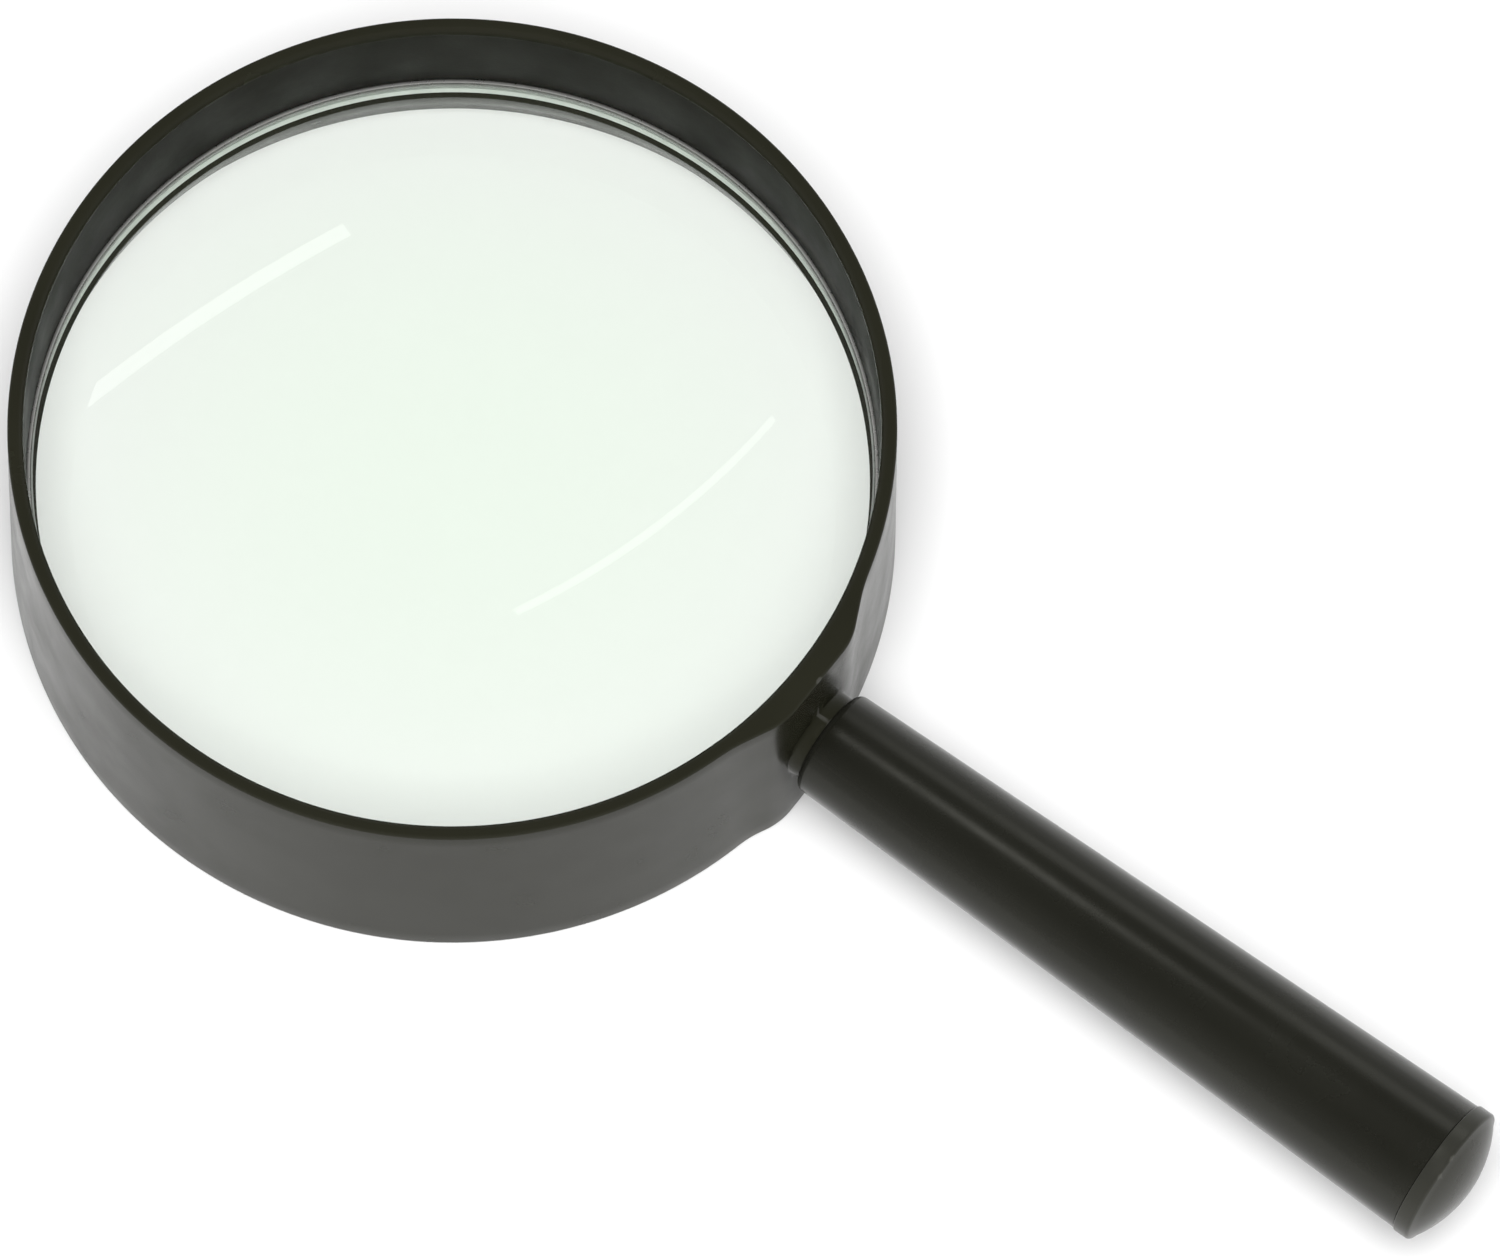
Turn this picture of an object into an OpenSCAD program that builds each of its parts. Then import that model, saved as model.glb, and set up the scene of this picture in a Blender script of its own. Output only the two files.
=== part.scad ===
// Hand magnifier: a deep round rim with a lens held at half height, and a
// straight tapered handle screwed to a saddle on the rim's side.
// Origin on the lens axis at the rim's base, +Z up, +X along the handle.

/* [Rim] */
// Outside radius of the rim at its top edge
rim_top_r = 47.5; // [45:0.5:52]
// How much wider the rim's radius is at its base, for mould draft
rim_draft = 0.6; // [0.3:0.1:1]
// Height of the rim
rim_h = 30; // [27:0.5:36]
// Wall thickness at the rim's top edge
rim_edge_t = 1.7; // [1.5:0.1:2]
// Size of the small bevels on the rim's outer edges
rim_bevel = 0.4; // [0.2:0.1:0.5]
// Size of the bevel on the inner edge of the rim's upper mouth
mouth_bevel = 0.6; // [0.4:0.1:0.8]

/* [Lens] */
// Gap between the lens edge and the rim's inner wall
lens_gap = 0.2; // [0.1:0.05:0.3]
// Thickness of the lens at its edge
lens_edge_t = 4; // [3:0.1:5]
// Radius of curvature of both lens faces
lens_curve_r = 229; // [200:1:300]
// Width of the ledge under the lens
seat_w = 1.2; // [1:0.1:1.6]
// How far the ledge under the lens reaches below the lens's lower face
lens_guard = 0.2; // [0.2:0.1:1]
// Thickness of the round wire of the retaining ring
wire_d = 0.9; // [0.8:0.05:1]
// Gap between the ends of the split retaining ring
ring_split = 2.4; // [1.5:0.1:4]

/* [Saddle] */
// Half angle between the points where the saddle leaves the rim
saddle_angle = 14.5; // [13:0.5:17]
// How far the saddle's end face stands out from the rim's top edge
saddle_stand = 1.4; // [1.3:0.1:2.4]
// Half width of the saddle's end face
saddle_half_w = 5.9; // [5.5:0.1:6.3]
// Radius of the saddle's upright corners
saddle_corner_r = 1.2; // [0.6:0.1:1.6]
// Radius of the round shoulder that the handle butts against
shoulder_r = 5.1; // [4.8:0.1:5.4]
// Length of that shoulder, the gap between the saddle and the handle
shoulder_l = 1.5; // [1.2:0.1:2.2]
// Radius of the spigot inside the handle
spigot_r = 3.5; // [3.2:0.1:3.6]
// Length of the spigot beyond the shoulder
spigot_l = 10.8; // [10:0.1:12]

/* [Handle] */
// Length of the handle tube
handle_l = 80.3; // [70:0.1:95]
// Radius of the handle at its front end
handle_front_r = 6.05; // [5.95:0.05:6.4]
// Radius of the handle at its back end
handle_back_r = 7.8; // [7.6:0.05:8.2]
// Radius of the rounded lip at the handle's front end
handle_lip_r = 0.9; // [0.5:0.1:1.2]
// Wall thickness of the handle at its back end
handle_wall = 1.55; // [1.3:0.05:1.6]
// Thickness of the wall that the screw clamps
web_t = 3; // [2.5:0.1:4]

/* [End cap] */
// How far the cap's rim stands out from the handle
cap_proud = 0.2; // [0.1:0.05:0.3]
// Length of the cap's straight rim
cap_rim_l = 1.8; // [1.6:0.1:2.6]
// Radius of the rounded edge between the cap's rim and its dome
cap_edge_r = 0.8; // [0.5:0.1:1]
// Height of the cap's shallow dome
cap_dome_h = 2.4; // [1.5:0.1:2.6]
// Length of the cap's hollow plug inside the handle
plug_l = 7; // [6:0.5:9]
// Height of the snap bead around the plug
plug_bead = 0.15; // [0.1:0.05:0.2]

/* [Fixing screw] */
// Outer radius of the screw thread
thread_r = 1.75; // [1.6:0.05:1.8]
// Distance from one thread crest to the next
thread_pitch = 1.3; // [1.2:0.1:1.5]
// Radius of the screw's pan head
head_r = 3.2; // [3:0.1:3.3]
// Height of the screw's pan head
head_h = 2.2; // [2:0.1:2.4]
// Outer radius of the washer
washer_r = 3.6; // [3.4:0.05:3.7]
// Thickness of the washer
washer_t = 0.8; // [0.6:0.1:1]

/* [Hidden] */

fine = 180;      // facets on large rounds
medium = 72;     // facets on the handle's rounds
small = 36;      // facets on the fixing
arc_steps = 6;   // straight pieces in each drawn quarter round
eps = 0.01;

black = [0.10, 0.10, 0.09];
steel = [0.62, 0.63, 0.65];
clear = [0.86, 0.94, 0.88, 0.45];

mouth_r = rim_top_r - rim_edge_t;        // inner wall of the rim
base_r = rim_top_r + rim_draft;
lens_r = mouth_r - lens_gap;
sight_r = mouth_r - seat_w;              // clear opening over the lens
mid_z = rim_h / 2;                       // lens plane and handle axis
lens_bevel = 0.4;

// Height of a lens face above the lens plane at radius r
function face_h(r) = lens_edge_t / 2
    + sqrt(pow(lens_curve_r, 2) - pow(r, 2)) - sqrt(pow(lens_curve_r, 2) - pow(lens_r, 2));

seat_h = face_h(sight_r) + 0.02;         // where the ledge meets the lens
wire_r = wire_d / 2;
wire_ring_r = mouth_r + 0.02;            // middle of the wire, half of it in the groove
bevel_sum = lens_r + lens_edge_t / 2 - lens_bevel;   // radius plus height, all along that bevel
wire_z = mid_z + bevel_sum - wire_ring_r + wire_r * sqrt(2) + 0.02;   // the wire rests on that bevel
groove_depth = wire_r + 0.07;

saddle_x = rim_top_r + saddle_stand;
handle_x = saddle_x + shoulder_l;
handle_end_x = handle_x + handle_l;
socket_l = spigot_l + 0.2;
bore_x = handle_x + socket_l + web_t;    // where the handle's hollow core starts
core_front_r = 4;
core_back_r = handle_back_r - handle_wall;
plug_r = core_back_r - 0.05;
plug_wall = 1.2;
cap_r = handle_back_r + cap_proud;
pilot_r = 1.4;
thread_root_r = thread_r - 0.5;
screw_l = socket_l + web_t + washer_t + 1;   // under the head, ending 1 past the spigot's root
screw_tip_l = 3;                         // length of the screw's point
recess_l = 3.6;                          // cross recess in the screw head
recess_w = 0.9;
recess_h = 1.2;

// Points of an arc from angle a0 to a1 about [cx, cy]
function arc(cx, cy, r, a0, a1, steps = arc_steps) =
    [for (i = [0:steps]) let (a = a0 + (a1 - a0) * i / steps) [cx + r * cos(a), cy + r * sin(a)]];

// Turns a revolve about Z into one about the handle's axis, starting at x
module along_handle(x) {
    translate([x, 0, mid_z]) rotate([0, 90, 0]) children();
}

// The rim's wall with its ledge and groove, as one revolved section
module rim_wall() {
    ledge_z = mid_z - seat_h;
    ledge_base_z = mid_z - face_h(0) - lens_guard;
    groove_r = mouth_r + groove_depth;
    groove_h = wire_r + 0.03;            // half its height
    rotate_extrude($fn = fine) polygon([
        [mouth_r, 0], [base_r - rim_bevel, 0], [base_r, rim_bevel],
        [rim_top_r, rim_h - rim_bevel], [rim_top_r - rim_bevel, rim_h],
        [mouth_r + mouth_bevel, rim_h], [mouth_r, rim_h - mouth_bevel],
        [mouth_r, wire_z + groove_h], [groove_r, wire_z + groove_h],
        [groove_r, wire_z - groove_h], [mouth_r, wire_z - groove_h],
        [mouth_r, ledge_z], [sight_r, ledge_z],
        [sight_r, ledge_base_z], [mouth_r, ledge_base_z]
    ]);
}

// Outline of the saddle: straight flanks that meet the end face in round corners
module saddle_outline() {
    tip = [rim_top_r * cos(saddle_angle), rim_top_r * sin(saddle_angle)];
    corner = [saddle_x, saddle_half_w];
    flank = atan2(tip[1] - corner[1], corner[0] - tip[0]);   // flank's lean from the X axis
    turn = 90 - flank;                                       // angle turned at the corner
    c = [saddle_x - saddle_corner_r,
         saddle_half_w - saddle_corner_r * tan(turn / 2)];
    round_side = arc(c[0], c[1], saddle_corner_r, 0, turn);
    inner_x = tip[0] - 2;
    side = concat(round_side, [tip, [inner_x, tip[1] + 0.3]]);
    polygon(concat(
        [for (i = [len(side) - 1:-1:0]) [side[i][0], -side[i][1]]],
        side
    ));
}

module rim() {
    color(black) difference() {
        union() {
            rim_wall();
            difference() {
                linear_extrude(rim_h) saddle_outline();
                translate([0, 0, -1]) cylinder(r = rim_top_r - rim_edge_t / 2, h = rim_h + 2, $fn = fine);
            }
            along_handle(saddle_x - 1) cylinder(r = shoulder_r, h = handle_x - saddle_x + 1, $fn = medium);
            along_handle(handle_x - 1) cylinder(r = spigot_r, h = spigot_l + 1, $fn = small);
        }
        along_handle(saddle_x) cylinder(r = pilot_r, h = handle_x - saddle_x + spigot_l + 1, $fn = small);
    }
}

// Two spherical faces, a ground edge and 45 degree edge bevels
module lens() {
    half_h = face_h(0);
    shoulder = lens_edge_t / 2 - lens_bevel;
    color(clear) translate([0, 0, mid_z]) intersection() {
        translate([0, 0, half_h - lens_curve_r]) sphere(r = lens_curve_r, $fn = fine * 2);
        translate([0, 0, lens_curve_r - half_h]) sphere(r = lens_curve_r, $fn = fine * 2);
        rotate_extrude($fn = fine) polygon([
            [0, -half_h - 1], [lens_r + shoulder - half_h - 1, -half_h - 1], [lens_r, -shoulder],
            [lens_r, shoulder], [lens_r + shoulder - half_h - 1, half_h + 1], [0, half_h + 1]
        ]);
    }
}

// Split ring of spring wire that snaps into the rim's groove and holds the lens down
module retaining_ring() {
    color(steel) difference() {
        translate([0, 0, wire_z]) rotate_extrude($fn = fine)
            translate([wire_ring_r, 0]) circle(r = wire_r, $fn = small);
        translate([wire_ring_r - wire_d, -ring_split / 2, wire_z - wire_d])
            cube([2 * wire_d, ring_split, 2 * wire_d]);
    }
}

// Hollow tapered tube, closed near its front by the web that the screw clamps
module handle() {
    color(black) along_handle(handle_x) difference() {
        rotate_extrude($fn = medium) polygon(concat(
            [[0, 0]],
            arc(handle_front_r - handle_lip_r, handle_lip_r, handle_lip_r, -90, 0),
            [[handle_back_r, handle_l], [0, handle_l]]
        ));
        translate([0, 0, -1]) cylinder(r = spigot_r + 0.05, h = socket_l + 1, $fn = medium);
        translate([0, 0, socket_l - 1]) cylinder(r = thread_r + 0.15, h = web_t + 2, $fn = small);
        translate([0, 0, bore_x - handle_x])
            cylinder(r1 = core_front_r, r2 = core_back_r, h = handle_end_x - bore_x - plug_l, $fn = medium);
        translate([0, 0, handle_l - plug_l - eps]) cylinder(r = core_back_r, h = plug_l + 1, $fn = medium);
    }
}

// Domed disc with a rounded edge, on a hollow plug that snaps into the handle
module end_cap() {
    dome_r = cap_r - cap_edge_r * 0.3;
    dome_z = cap_rim_l;
    curve_r = (pow(dome_r, 2) + pow(cap_dome_h, 2)) / (2 * cap_dome_h);
    half_angle = asin(dome_r / curve_r);
    dome = arc(0, dome_z + cap_dome_h - curve_r, curve_r, 90 - half_angle, 90, 2 * arc_steps);
    edge = arc(cap_r - cap_edge_r, cap_rim_l - cap_edge_r, cap_edge_r, 0, 45);
    bead_z = -plug_l * 0.6;
    color(black) along_handle(handle_end_x) difference() {
        rotate_extrude($fn = medium) polygon(concat(
            [[0, -plug_l + 0.5], [plug_r - 0.4, -plug_l + 0.5], [plug_r, -plug_l + 1],
             [plug_r, bead_z - 0.6], [plug_r + plug_bead, bead_z], [plug_r, bead_z + 0.6],
             [plug_r, 0], [cap_r - 0.15, 0], [cap_r, 0.15]],
            edge, dome
        ));
        translate([0, 0, -plug_l]) cylinder(r = plug_r - plug_wall, h = plug_l + 0.4, $fn = medium);
    }
}

// Self-tapping pan head screw that clamps the handle to the spigot
module fixing_screw() {
    turns = floor((screw_l - screw_tip_l - 1) / thread_pitch);
    thread = [for (i = [0:turns - 1]) let (z = screw_tip_l + i * thread_pitch)
        each [[thread_root_r, z],
              [thread_r, z + thread_pitch * 0.45],
              [thread_root_r, z + thread_pitch * 0.9]]];
    color(steel) along_handle(bore_x + washer_t - screw_l) difference() {
        rotate_extrude($fn = small) polygon(concat(
            [[0, 0]], thread,
            [[thread_root_r, screw_l], [head_r - 0.2, screw_l], [head_r, screw_l + 0.2]],
            arc(head_r - 1.2, screw_l + head_h - 1.2, 1.2, 0, 90), [[0, screw_l + head_h]]
        ));
        for (a = [0, 90]) rotate(a)
            translate([-recess_l / 2, -recess_w / 2, screw_l + head_h - recess_h])
                cube([recess_l, recess_w, 2]);
    }
}

// Plain washer under the screw's head
module screw_washer() {
    color(steel) along_handle(bore_x) difference() {
        cylinder(r = washer_r, h = washer_t, $fn = small);
        translate([0, 0, -1]) cylinder(r = thread_r + 0.1, h = washer_t + 2, $fn = small);
    }
}

rim();
lens();
retaining_ring();
handle();
end_cap();
fixing_screw();
screw_washer();
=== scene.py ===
import math

import bmesh
import bpy
from mathutils import Matrix, Vector


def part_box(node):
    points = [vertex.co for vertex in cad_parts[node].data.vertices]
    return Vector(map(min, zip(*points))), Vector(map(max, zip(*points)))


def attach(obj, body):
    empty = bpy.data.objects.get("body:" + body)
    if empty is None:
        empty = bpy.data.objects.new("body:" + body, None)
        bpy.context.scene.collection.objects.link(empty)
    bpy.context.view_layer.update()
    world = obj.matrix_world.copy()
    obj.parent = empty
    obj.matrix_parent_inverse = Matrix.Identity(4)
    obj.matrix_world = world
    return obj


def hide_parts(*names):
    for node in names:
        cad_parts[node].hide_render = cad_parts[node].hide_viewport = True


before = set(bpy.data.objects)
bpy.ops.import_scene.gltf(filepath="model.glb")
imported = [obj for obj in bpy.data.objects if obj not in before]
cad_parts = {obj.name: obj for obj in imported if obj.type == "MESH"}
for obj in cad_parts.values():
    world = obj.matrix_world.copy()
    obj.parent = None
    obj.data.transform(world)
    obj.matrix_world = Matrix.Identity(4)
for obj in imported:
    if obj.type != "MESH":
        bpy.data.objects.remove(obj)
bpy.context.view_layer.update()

# ---------------------------------------------------------------- sizes, in metres
MM = 0.001
BODY = "magnifier"

rim_low, rim_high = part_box("rim")
lens_low, lens_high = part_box("lens")
ring_low, ring_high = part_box("retaining_ring")
handle_low, handle_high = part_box("handle")
cap_low, cap_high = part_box("end_cap")

RIM_H = rim_high.z - rim_low.z
MID_Z = (rim_low.z + rim_high.z) / 2
BASE_R = rim_high.y                     # outside radius at the rim's base
TOP_R = BASE_R - 0.6 * MM               # and at its top edge
MOUTH_R = TOP_R - 1.7 * MM              # inner wall
SIGHT_R = MOUTH_R - 1.2 * MM            # clear opening over the ledge

WIRE_R = (ring_high.z - ring_low.z) / 2
WIRE_Z = (ring_high.z + ring_low.z) / 2
WIRE_RING_R = MOUTH_R + 0.02 * MM       # middle of the retaining ring's wire
GROOVE_R = MOUTH_R + WIRE_R + 0.07 * MM

LENS_R = lens_high.x
LENS_HALF_H = (lens_high.z - lens_low.z) / 2
LENS_CURVE_R = 229 * MM
LENS_BEVEL = 0.4 * MM

SADDLE_ANGLE = math.radians(14.5)       # where the saddle's flanks leave the rim
SADDLE_X = TOP_R + 1.4 * MM             # its end face
SADDLE_HALF_W = 5.9 * MM
SHOULDER_R = 5.1 * MM                   # round shoulder that the handle butts against
SPIGOT_R = 3.5 * MM
PILOT_R = 1.4 * MM
SPIGOT_END = rim_high.x

HANDLE_X = handle_low.x
HANDLE_END = handle_high.x
HANDLE_FRONT_R = 6.05 * MM
HANDLE_BACK_R = handle_high.y
HANDLE_LIP_R = 0.9 * MM
SOCKET_L = SPIGOT_END - HANDLE_X + 0.2 * MM
WEB_T = 3 * MM
CORE_FRONT_R = 4 * MM
CORE_BACK_R = HANDLE_BACK_R - 1.55 * MM

CAP_R = cap_high.y
CAP_RIM_L = 1.8 * MM
CAP_EDGE_R = 0.8 * MM
PLUG_END = cap_low.x
PLUG_R = CORE_BACK_R - 0.05 * MM
PLUG_WALL = 1.2 * MM

# ---------------------------------------------------------------- mesh helpers


def smooth_max(a, b, k):
    """The larger of a and b, blended over a distance k where they are close."""
    h = max(k - abs(a - b), 0.0) / k
    return max(a, b) + h * h * k / 4


def smooth_min(a, b, k):
    """The smaller of a and b, blended in the same way."""
    return -smooth_max(-a, -b, k)


def rounded(corners, closed=True, steps=5):
    """Points of an outline whose corners (u, v, radius) are turned into arcs.

    A radius of 0 keeps the corner. An open outline keeps its two end points.
    """
    points = []
    count = len(corners)
    for i, (u, v, radius) in enumerate(corners):
        here = Vector((u, v))
        is_end = not closed and i in (0, count - 1)
        if radius <= 0 or is_end:
            points.append(here)
            continue
        before = Vector(corners[i - 1][:2]) - here
        after = Vector(corners[(i + 1) % count][:2]) - here
        angle = before.angle(after)
        cut = min(radius / math.tan(angle / 2), 0.49 * before.length, 0.49 * after.length)
        true_radius = cut * math.tan(angle / 2)
        bisector = (before.normalized() + after.normalized()).normalized()
        centre = here + bisector * true_radius / math.sin(angle / 2)
        start = here + before.normalized() * cut - centre
        end = here + after.normalized() * cut - centre
        sweep = start.angle_signed(end)
        for s in range(steps + 1):
            points.append(centre + Matrix.Rotation(-sweep * s / steps, 2) @ start)
    return points


def loft(name, rows, closed_rows, closed_columns, caps=False):
    """A mesh through rows of points, each row one section. Rows and columns may close on themselves."""
    bm = bmesh.new()
    grid = [[bm.verts.new(p) for p in row] for row in rows]
    row_count = len(grid)
    column_count = len(grid[0])
    for i in range(row_count if closed_rows else row_count - 1):
        for j in range(column_count if closed_columns else column_count - 1):
            a = grid[i]
            b = grid[(i + 1) % row_count]
            k = (j + 1) % column_count
            bm.faces.new((a[j], a[k], b[k], b[j]))
    if caps:
        bm.faces.new(grid[0])
        bm.faces.new(list(reversed(grid[-1])))
    bmesh.ops.remove_doubles(bm, verts=bm.verts, dist=1e-7)
    bmesh.ops.dissolve_degenerate(bm, edges=bm.edges, dist=1e-8)
    return finish_mesh(name, bm)


def finish_mesh(name, bm, sharp_angle=math.radians(32)):
    """Turns a bmesh into an object with smooth faces, and sharp edges where faces meet at a real corner."""
    bmesh.ops.recalc_face_normals(bm, faces=bm.faces)
    for face in bm.faces:
        face.smooth = True
    for edge in bm.edges:
        edge.smooth = len(edge.link_faces) == 2 and edge.calc_face_angle(0.0) < sharp_angle
    mesh = bpy.data.meshes.new(name)
    bm.to_mesh(mesh)
    bm.free()
    obj = bpy.data.objects.new(name, mesh)
    bpy.context.scene.collection.objects.link(obj)
    return obj


def around_z(radius, z, angle):
    """A point of the rim, lens or wire ring, turned about the lens axis."""
    return Vector((radius * math.cos(angle), radius * math.sin(angle), z))


def around_handle(radius, x, angle):
    """A point of the spigot, handle or cap, turned about the handle's axis."""
    return Vector((x, radius * math.cos(angle), MID_Z + radius * math.sin(angle)))


def lathe(name, outline, place, closed, turns=192):
    """Revolves an outline of (radius, distance along the axis) points.

    An open outline starts and ends on the axis.
    """
    rows = [
        [place(u, v, 2 * math.pi * i / turns) for u, v in outline]
        for i in range(turns)
    ]
    return loft(name, rows, True, closed)


# ---------------------------------------------------------------- pieces


def saddle_reach(angle):
    """Distance from the lens axis to the saddle's outline, in a direction near +X."""
    tip = Vector((TOP_R * math.cos(SADDLE_ANGLE), TOP_R * math.sin(SADDLE_ANGLE)))
    corner = Vector((SADDLE_X, SADDLE_HALF_W))
    along = (corner - tip).normalized()
    normal = Vector((-along.y, along.x))
    if normal.dot(tip) < 0:
        normal.negate()
    direction = Vector((math.cos(angle), abs(math.sin(angle))))
    least = 0.05                        # keeps both distances finite
    corner_blend = 0.8 * MM
    face = SADDLE_X / max(direction.x, least)
    flank = tip.dot(normal) / max(direction.dot(normal), least)
    return smooth_min(face, flank, corner_blend)


def rim_reach(angle, z):
    """The rim's outside radius, with the saddle blended into it by a small fillet."""
    fillet = 0.35 * MM
    ring = TOP_R + (BASE_R - TOP_R) * (1 - z / RIM_H)
    if abs(angle) > 2 * SADDLE_ANGLE:
        return ring
    return smooth_max(ring, saddle_reach(angle), fillet)


def rim_section(angle):
    """The rim's cross-section in the half plane at an angle about the lens axis."""
    edge = 0.35 * MM
    mouth_edge = 0.9 * MM
    seat_z = lens_seat_z()
    groove_base = WIRE_Z - WIRE_R - 0.03 * MM
    groove_top = WIRE_Z + WIRE_R + 0.03 * MM
    ledge_base = lens_low.z - 0.2 * MM
    wall = [(rim_reach(angle, RIM_H * i / 12), RIM_H * i / 12, 0) for i in range(1, 12)]
    return rounded(
        [(MOUTH_R, 0, 0.1 * MM), (rim_reach(angle, 0), 0, edge)]
        + wall
        + [
            (rim_reach(angle, RIM_H), RIM_H, edge),
            (MOUTH_R, RIM_H, mouth_edge),
            (MOUTH_R, groove_top, 0.1 * MM),
            (GROOVE_R, groove_top, 0),
            (GROOVE_R, groove_base, 0),
            (MOUTH_R, groove_base, 0),
            (MOUTH_R, seat_z, 0),
            (SIGHT_R, seat_z, 0.15 * MM),
            (SIGHT_R, ledge_base, 0.3 * MM),
            (MOUTH_R, ledge_base, 0.1 * MM),
        ]
    )


def lens_face_z(radius):
    """Height of the lens's upper face at a distance from its axis."""
    return MID_Z + LENS_HALF_H - LENS_CURVE_R + math.sqrt(LENS_CURVE_R**2 - radius**2)


def lens_seat_z():
    """Height of the ledge's top, just under the lens's lower face."""
    return 2 * MID_Z - lens_face_z(SIGHT_R) - 0.02 * MM


def join(obj, tool):
    """Joins a second mesh to a piece as one solid, and removes it."""
    change = obj.modifiers.new("join", "BOOLEAN")
    change.operation = "UNION"
    change.solver = "EXACT"
    change.object = tool
    depsgraph = bpy.context.evaluated_depsgraph_get()
    mesh = bpy.data.meshes.new_from_object(obj.evaluated_get(depsgraph))
    obj.modifiers.remove(change)
    obj.data = mesh
    bpy.data.objects.remove(tool)


def build_rim():
    """The rim as one loft about the lens axis, with the shoulder and the spigot joined to the saddle."""
    fine = math.radians(0.2)
    coarse = math.radians(1.2)
    near = 1.3 * SADDLE_ANGLE
    fine_count = round(2 * near / fine)
    coarse_count = round((2 * math.pi - 2 * near) / coarse)
    angles = [-near + 2 * near * i / fine_count for i in range(fine_count)]
    angles += [near + (2 * math.pi - 2 * near) * i / coarse_count for i in range(coarse_count)]
    rows = []
    for a in angles:
        turned = a if a <= math.pi else a - 2 * math.pi
        rows.append([around_z(r, z, a) for r, z in rim_section(turned)])
    rim = loft("rim_moulding", rows, True, True)
    root_x = SADDLE_X - 2 * MM          # inside the saddle, so that the two overlap
    pilot_tip_x = SADDLE_X - 0.8 * MM
    spigot = rounded(
        [
            (0, root_x, 0),
            (SHOULDER_R, root_x, 0),
            (SHOULDER_R, HANDLE_X, 0.15 * MM),
            (SPIGOT_R, HANDLE_X, 0.15 * MM),
            (SPIGOT_R, SPIGOT_END, 0.3 * MM),
            (PILOT_R, SPIGOT_END, 0.2 * MM),
            (PILOT_R, SADDLE_X, 0),
            (0, pilot_tip_x, 0),
        ],
        closed=False,
    )
    join(rim, lathe("spigot", spigot, around_handle, False, 96))
    rim.data.materials.clear()
    rim.data.materials.append(black_plastic)
    rim.data.materials.append(shaded_inner_plastic)
    # Inner wall faces above the lens take the darker copy, which paints shade into the recess.
    for face in rim.data.polygons:
        place = face.center
        is_inner = math.hypot(place.x, place.y) < MOUTH_R + 0.05 * MM
        is_above_lens = MID_Z < place.z < RIM_H - 1 * MM
        face.material_index = 1 if is_inner and is_above_lens else 0
    return rim


def build_lens():
    """Biconvex lens with a ground edge and 45 degree bevels."""
    edge_z = lens_face_z(LENS_R) - MID_Z
    rings = 48
    face_r = LENS_R - LENS_BEVEL
    top = [(face_r * i / rings, lens_face_z(face_r * i / rings) - MID_Z) for i in range(rings + 1)]
    outline = top + [(LENS_R, edge_z - LENS_BEVEL), (LENS_R, LENS_BEVEL - edge_z)]
    outline += [(u, -v) for u, v in reversed(top)]
    outline = [(u, v + MID_Z) for u, v in outline]
    lens = lathe("lens_glass", outline, around_z, False, 288)
    lens.data.materials.append(lens_glass)
    lens.data.materials.append(ground_glass)
    for face in lens.data.polygons:
        is_ground = math.hypot(face.center.x, face.center.y) > face_r * 0.9995
        face.material_index = 1 if is_ground else 0
    return lens


def build_ring():
    """Split retaining ring of round wire, with closed ends."""
    gap = 2.4 * MM
    half_gap = math.asin(gap / 2 / WIRE_RING_R)
    sides = 20
    steps = 360
    rows = []
    for i in range(steps + 1):
        angle = half_gap + (2 * math.pi - 2 * half_gap) * i / steps
        row = []
        for j in range(sides):
            turn = 2 * math.pi * j / sides
            radius = WIRE_RING_R + WIRE_R * math.cos(turn)
            row.append(around_z(radius, WIRE_Z + WIRE_R * math.sin(turn), angle))
        rows.append(row)
    return loft("lens_retaining_ring", rows, False, True, caps=True)


def build_handle():
    """Hollow tapered handle with a rounded lip, a fixing socket and the web that the screw clamps."""
    socket_x = HANDLE_X + SOCKET_L
    core_x = socket_x + WEB_T
    plug_x = HANDLE_END - 7 * MM
    screw_r = 1.9 * MM
    outline = rounded(
        [
            (SPIGOT_R + 0.05 * MM, HANDLE_X, 0.2 * MM),
            (HANDLE_FRONT_R, HANDLE_X, HANDLE_LIP_R),
            (HANDLE_BACK_R, HANDLE_END, 0.2 * MM),
            (CORE_BACK_R, HANDLE_END, 0.15 * MM),
            (CORE_BACK_R, plug_x, 0),
            (CORE_BACK_R - 0.02 * MM, plug_x - 0.02 * MM, 0),
            (CORE_FRONT_R, core_x, 0),
            (screw_r, core_x, 0),
            (screw_r, socket_x, 0),
            (SPIGOT_R + 0.05 * MM, socket_x, 0),
        ]
    )
    return lathe("handle_tube", outline, around_handle, True)


def build_cap():
    """Domed end cap with a rounded edge and a hollow plug."""
    dome_h = cap_high.x - HANDLE_END - CAP_RIM_L
    dome_r = CAP_R - 0.3 * CAP_EDGE_R
    curve_r = (dome_r**2 + dome_h**2) / (2 * dome_h)
    crown = cap_high.x - curve_r
    reach = dome_r - 0.35 * MM          # the cap's rounded edge covers the rest
    hollow_x = HANDLE_END - 0.4 * MM    # the bottom of the plug's hollow
    rings = 16
    dome = [
        (reach * i / rings, crown + math.sqrt(curve_r**2 - (reach * i / rings) ** 2), 0)
        for i in range(rings, -1, -1)
    ]
    rim = [
        (CAP_R, HANDLE_END, 0.15 * MM),
        (CAP_R, HANDLE_END + CAP_RIM_L, CAP_EDGE_R),
    ]
    plug = [
        (0, hollow_x, 0),
        (PLUG_R - PLUG_WALL, hollow_x, 0.3 * MM),
        (PLUG_R - PLUG_WALL, PLUG_END, 0.2 * MM),
        (PLUG_R, PLUG_END, 0.4 * MM),
        (PLUG_R, HANDLE_END, 0),
    ]
    return lathe("end_cap_dome", rounded(plug + rim + dome, closed=False), around_handle, False)


# ---------------------------------------------------------------- materials
WORN = (0.05, 0.05, 0.043)              # colour of rubbed plastic edges
BUMP_H = 0.04 * MM                      # height of the fine bumps at full strength


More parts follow.
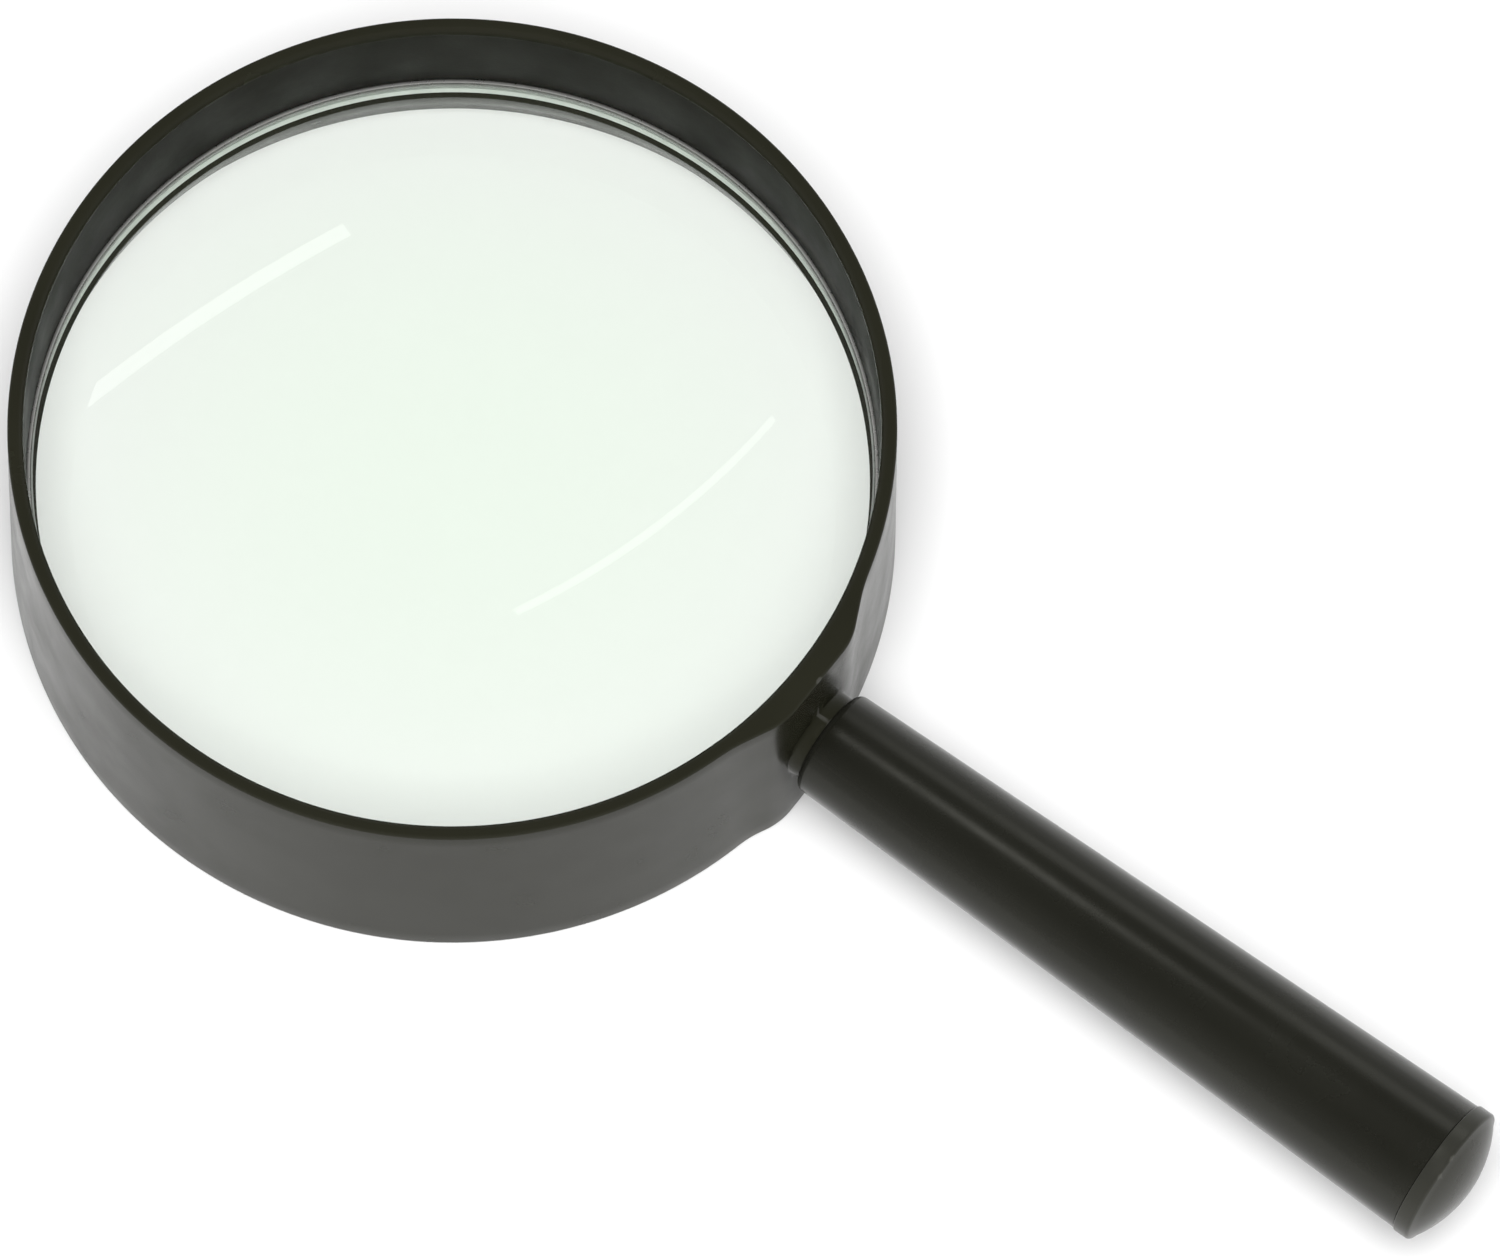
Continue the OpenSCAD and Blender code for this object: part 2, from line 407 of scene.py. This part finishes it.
def new_material(name):
    """A node material, with its nodes, links and Principled shader."""
    material = bpy.data.materials.new(name)
    material.use_nodes = True
    nodes = material.node_tree.nodes
    return material, nodes, material.node_tree.links, nodes["Principled BSDF"]


def noise(nodes, links, coordinates, scale, detail=4.0, roughness=0.55):
    """A noise value whose features are about 1 / scale metres wide."""
    node = nodes.new("ShaderNodeTexNoise")
    node.inputs["Scale"].default_value = scale
    node.inputs["Detail"].default_value = detail
    node.inputs["Roughness"].default_value = roughness
    links.new(coordinates, node.inputs["Vector"])
    return node.outputs["Fac"]


def spread(nodes, links, value, low, high):
    """Maps a noise value's middle range onto low to high."""
    node = nodes.new("ShaderNodeMapRange")
    node.inputs["From Min"].default_value = 0.3
    node.inputs["From Max"].default_value = 0.7
    node.inputs["To Min"].default_value = low
    node.inputs["To Max"].default_value = high
    links.new(value, node.inputs["Value"])
    return node.outputs["Result"]


def mixed_colour(nodes, links, factor, first, second):
    """A colour between the first, where the factor is 0, and the second, where it is 1."""
    node = nodes.new("ShaderNodeMix")
    node.data_type = "RGBA"
    node.inputs["A"].default_value = (*first, 1)
    node.inputs["B"].default_value = (*second, 1)
    links.new(factor, node.inputs["Factor"])
    return node.outputs["Result"]


def edge_wear(nodes, links):
    """A value that is 0 on flat and hollow places and rises to 1 on the crests of edges."""
    geometry = nodes.new("ShaderNodeNewGeometry")
    node = nodes.new("ShaderNodeMapRange")
    node.inputs["From Min"].default_value = 0.52
    node.inputs["From Max"].default_value = 0.6
    links.new(geometry.outputs["Pointiness"], node.inputs["Value"])
    return node.outputs["Result"]


def plastic(name, dark, light, gloss, specular, skin=0.08):
    """Moulded plastic with a flow pattern, smears in its gloss, rubbed edges and a fine skin.

    The gloss is the lowest and highest roughness, and the skin is the strength of the fine bumps.
    """
    material, nodes, links, shader = new_material(name)
    place = nodes.new("ShaderNodeTexCoord").outputs["Object"]
    flow = noise(nodes, links, place, 60)
    smears = noise(nodes, links, place, 140, 6)
    grain = noise(nodes, links, place, 2600, 2)
    body = mixed_colour(nodes, links, flow, dark, light)
    rubbed = nodes.new("ShaderNodeMix")
    rubbed.data_type = "RGBA"
    rubbed.inputs["B"].default_value = (*WORN, 1)
    links.new(edge_wear(nodes, links), rubbed.inputs["Factor"])
    links.new(body, rubbed.inputs["A"])
    links.new(rubbed.outputs["Result"], shader.inputs["Base Color"])
    links.new(spread(nodes, links, smears, gloss[0], gloss[1]), shader.inputs["Roughness"])
    bump = nodes.new("ShaderNodeBump")
    bump.inputs["Strength"].default_value = skin
    bump.inputs["Distance"].default_value = BUMP_H
    links.new(grain, bump.inputs["Height"])
    links.new(bump.outputs["Normal"], shader.inputs["Normal"])
    shader.inputs["IOR"].default_value = 1.5
    shader.inputs["Specular IOR Level"].default_value = specular
    shader.inputs["Specular Tint"].default_value = (1, 1, 0.9, 1)
    return material


def polished_glass(name):
    """Clear glass, greener where it is thicker. Lamps shine through it, so what is under it stays lit."""
    material, nodes, links, shader = new_material(name)
    place = nodes.new("ShaderNodeTexCoord").outputs["Object"]
    smears = noise(nodes, links, place, 45, 6)
    links.new(spread(nodes, links, smears, 0.0, 0.012), shader.inputs["Roughness"])
    shader.inputs["Base Color"].default_value = (1, 1, 1, 1)
    shader.inputs["IOR"].default_value = 1.52
    shader.inputs["Transmission Weight"].default_value = 1
    clear = nodes.new("ShaderNodeBsdfTransparent")
    choose = nodes.new("ShaderNodeMixShader")
    path = nodes.new("ShaderNodeLightPath")
    links.new(path.outputs["Is Shadow Ray"], choose.inputs["Fac"])
    links.new(shader.outputs["BSDF"], choose.inputs[1])
    links.new(clear.outputs["BSDF"], choose.inputs[2])
    links.new(choose.outputs["Shader"], nodes["Material Output"].inputs["Surface"])
    body = nodes.new("ShaderNodeVolumeAbsorption")
    body.inputs["Color"].default_value = (0.51, 0.86, 0.47, 1)
    body.inputs["Density"].default_value = 10
    links.new(body.outputs["Volume"], nodes["Material Output"].inputs["Volume"])
    return material


def frosted_glass(name):
    """The lens's ground edge: a white, scattering surface with a fine grain."""
    material, nodes, links, shader = new_material(name)
    place = nodes.new("ShaderNodeTexCoord").outputs["Object"]
    grain = noise(nodes, links, place, 3000, 3)
    chips = noise(nodes, links, place, 400, 3)
    white = mixed_colour(nodes, links, chips, (0.5, 0.53, 0.5), (0.7, 0.74, 0.7))
    links.new(white, shader.inputs["Base Color"])
    links.new(spread(nodes, links, grain, 0.5, 0.7), shader.inputs["Roughness"])
    bump = nodes.new("ShaderNodeBump")
    bump.inputs["Strength"].default_value = 0.4
    bump.inputs["Distance"].default_value = BUMP_H
    links.new(grain, bump.inputs["Height"])
    links.new(bump.outputs["Normal"], shader.inputs["Normal"])
    return material


def steel(name):
    """Plated steel with a fine grain."""
    material, nodes, links, shader = new_material(name)
    place = nodes.new("ShaderNodeTexCoord").outputs["Object"]
    grain = noise(nodes, links, place, 900, 3)
    plating = mixed_colour(nodes, links, grain, (0.5, 0.5, 0.48), (0.68, 0.68, 0.65))
    links.new(plating, shader.inputs["Base Color"])
    links.new(spread(nodes, links, grain, 0.22, 0.38), shader.inputs["Roughness"])
    shader.inputs["Metallic"].default_value = 1
    return material


def floor_material():
    """A matt pale paper floor."""
    material, nodes, links, shader = new_material("pale_floor")
    shader.inputs["Base Color"].default_value = (0.9, 0.9, 0.9, 1)
    shader.inputs["Roughness"].default_value = 0.9
    shader.inputs["Specular IOR Level"].default_value = 0.0
    return material


black_plastic = plastic(
    "black_plastic",
    dark=(0.013, 0.013, 0.008),
    light=(0.02, 0.02, 0.013),
    gloss=(0.18, 0.28),
    specular=0.1,
)
# A darker, rougher copy of the black plastic for the inner wall above the lens: its darker colour is
# painted shade in that recess, and its roughness and stronger bumps give a textured finish.
shaded_inner_plastic = plastic(
    "textured_shaded_inner_wall_plastic",
    dark=(0.01, 0.01, 0.0075),
    light=(0.015, 0.015, 0.011),
    gloss=(0.45, 0.6),
    specular=0.12,
    skin=0.3,
)
# The black plastic again, with a darker colour on the handle: painted shade that keeps it dark under the
# sheen lamps.
shaded_handle_plastic = plastic(
    "shaded_handle_plastic",
    dark=(0.007, 0.007, 0.005),
    light=(0.011, 0.011, 0.008),
    gloss=(0.22, 0.3),
    specular=0.3,
)
# The black plastic again, with a lighter colour on the end cap: painted light for its pale, reflecting
# face.
cap_plastic = plastic(
    "cap_plastic",
    dark=(0.02, 0.02, 0.016),
    light=(0.03, 0.03, 0.025),
    gloss=(0.24, 0.34),
    specular=0.25,
)
lens_glass = polished_glass("lens_glass")
ground_glass = frosted_glass("ground_glass")
plated_steel = steel("plated_steel")

# ---------------------------------------------------------------- the assembly


def add_piece(piece, node, material=None):
    """Shows a piece in place of its CAD node."""
    if material:
        piece.data.materials.append(material)
    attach(piece, BODY)
    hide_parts(node)
    return piece


add_piece(build_rim(), "rim")
add_piece(build_lens(), "lens")
add_piece(build_ring(), "retaining_ring", plated_steel)
handle = add_piece(build_handle(), "handle", shaded_handle_plastic)
end_cap = add_piece(build_cap(), "end_cap", cap_plastic)
for node in ("fixing_screw", "screw_washer"):
    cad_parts[node].data.materials.clear()
    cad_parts[node].data.materials.append(plated_steel)

# ---------------------------------------------------------------- floor, light and camera


def add_floor():
    """A pale floor just under the rim."""
    bm = bmesh.new()
    bmesh.ops.create_grid(bm, x_segments=8, y_segments=8, size=6)
    floor = finish_mesh("floor", bm)
    floor.location.z = rim_low.z - 0.02 * MM
    floor.data.materials.append(floor_material())


def from_direction(azimuth, elevation):
    """Unit vector towards a direction. Azimuth 0 is the -Y side and 90 the +X side, in degrees."""
    turn = math.radians(azimuth)
    rise = math.radians(elevation)
    return Vector((math.sin(turn) * math.cos(rise), -math.cos(turn) * math.cos(rise), math.sin(rise)))


def add_softbox(name, azimuth, elevation, distance, size, radiance, mirrored=True, in_glass=True):
    """A rectangular light that faces the object. Its size is (width, height), its width level.

    One that isn't mirrored makes no highlights. One that isn't in glass isn't seen through the lens.
    """
    width, height = size
    light = bpy.data.lights.new(name, "AREA")
    light.shape = "RECTANGLE"
    light.size = width
    light.size_y = height
    light.energy = radiance * math.pi * width * height
    obj = bpy.data.objects.new(name, light)
    direction = from_direction(azimuth, elevation)
    obj.location = Vector((0, 0, MID_Z)) + direction * distance
    obj.rotation_euler = direction.to_track_quat("Z", "Y").to_euler()
    obj.visible_transmission = in_glass
    obj.visible_glossy = mirrored
    bpy.context.scene.collection.objects.link(obj)
    return obj


def shine_on(softbox, pieces):
    """Keeps a softbox's light to some of the pieces."""
    receivers = bpy.data.collections.new(softbox.name + "_receivers")
    for piece in pieces:
        receivers.objects.link(piece)
    softbox.light_linking.receiver_collection = receivers


def add_world(low, high):
    """A studio that is bright low down, at the horizon, and darker overhead."""
    world = bpy.data.worlds.new("studio")
    world.use_nodes = True
    nodes = world.node_tree.nodes
    links = world.node_tree.links
    direction = nodes.new("ShaderNodeTexCoord").outputs["Generated"]
    split = nodes.new("ShaderNodeSeparateXYZ")
    links.new(direction, split.inputs["Vector"])
    fade = nodes.new("ShaderNodeMapRange")
    fade.inputs["From Min"].default_value = 0
    fade.inputs["From Max"].default_value = 0.8
    fade.inputs["To Min"].default_value = low
    fade.inputs["To Max"].default_value = high
    links.new(split.outputs["Z"], fade.inputs["Value"])
    links.new(fade.outputs["Result"], nodes["Background"].inputs["Strength"])
    nodes["Background"].inputs["Color"].default_value = (1, 1, 1, 1)
    bpy.context.scene.world = world


def add_camera(azimuth, elevation, roll, distance, target, lens):
    """A long lens from the side of the handle, high above the magnifier."""
    camera = bpy.data.cameras.new("camera")
    camera.lens = lens
    camera.clip_end = 100
    obj = bpy.data.objects.new("camera", camera)
    back = from_direction(azimuth, elevation)
    level_right = Vector((0, 0, 1)).cross(back).normalized()
    level_up = back.cross(level_right)
    turn = math.radians(roll)
    right = level_right * math.cos(turn) + level_up * math.sin(turn)
    up = back.cross(right)
    rotation = Matrix((right, up, back)).transposed().to_4x4()
    obj.matrix_world = Matrix.Translation(target + back * distance) @ rotation
    bpy.context.scene.collection.objects.link(obj)
    bpy.context.scene.camera = obj


add_floor()
add_world(0.9, 0.2)
add_softbox(
    "camera_side",
    azimuth=38,
    elevation=72,
    distance=1.8,
    size=(1.0, 1.0),
    radiance=12.1,
    mirrored=False,
    in_glass=False,
)
add_softbox("strip", azimuth=-105.5, elevation=54.6, distance=1.0, size=(0.6, 0.018), radiance=1.8)
sheen = add_softbox(
    "handle_sheen",
    azimuth=-113.1,
    elevation=75.2,
    distance=1.2,
    size=(0.24, 0.24),
    radiance=4,
    in_glass=False,
)
flank = add_softbox(
    "handle_flank",
    azimuth=180,
    elevation=40,
    distance=1.2,
    size=(0.8, 0.4),
    radiance=1.1,
    in_glass=False,
)
for softbox in (sheen, flank):
    shine_on(softbox, [handle, end_cap])
add_camera(
    azimuth=34.37,
    elevation=68.22,
    roll=2.62,
    distance=1.4185,
    target=Vector((36.16 * MM, 5.1 * MM, MID_Z)),
    lens=317.2,
)
bpy.context.scene.view_settings.view_transform = "Standard"
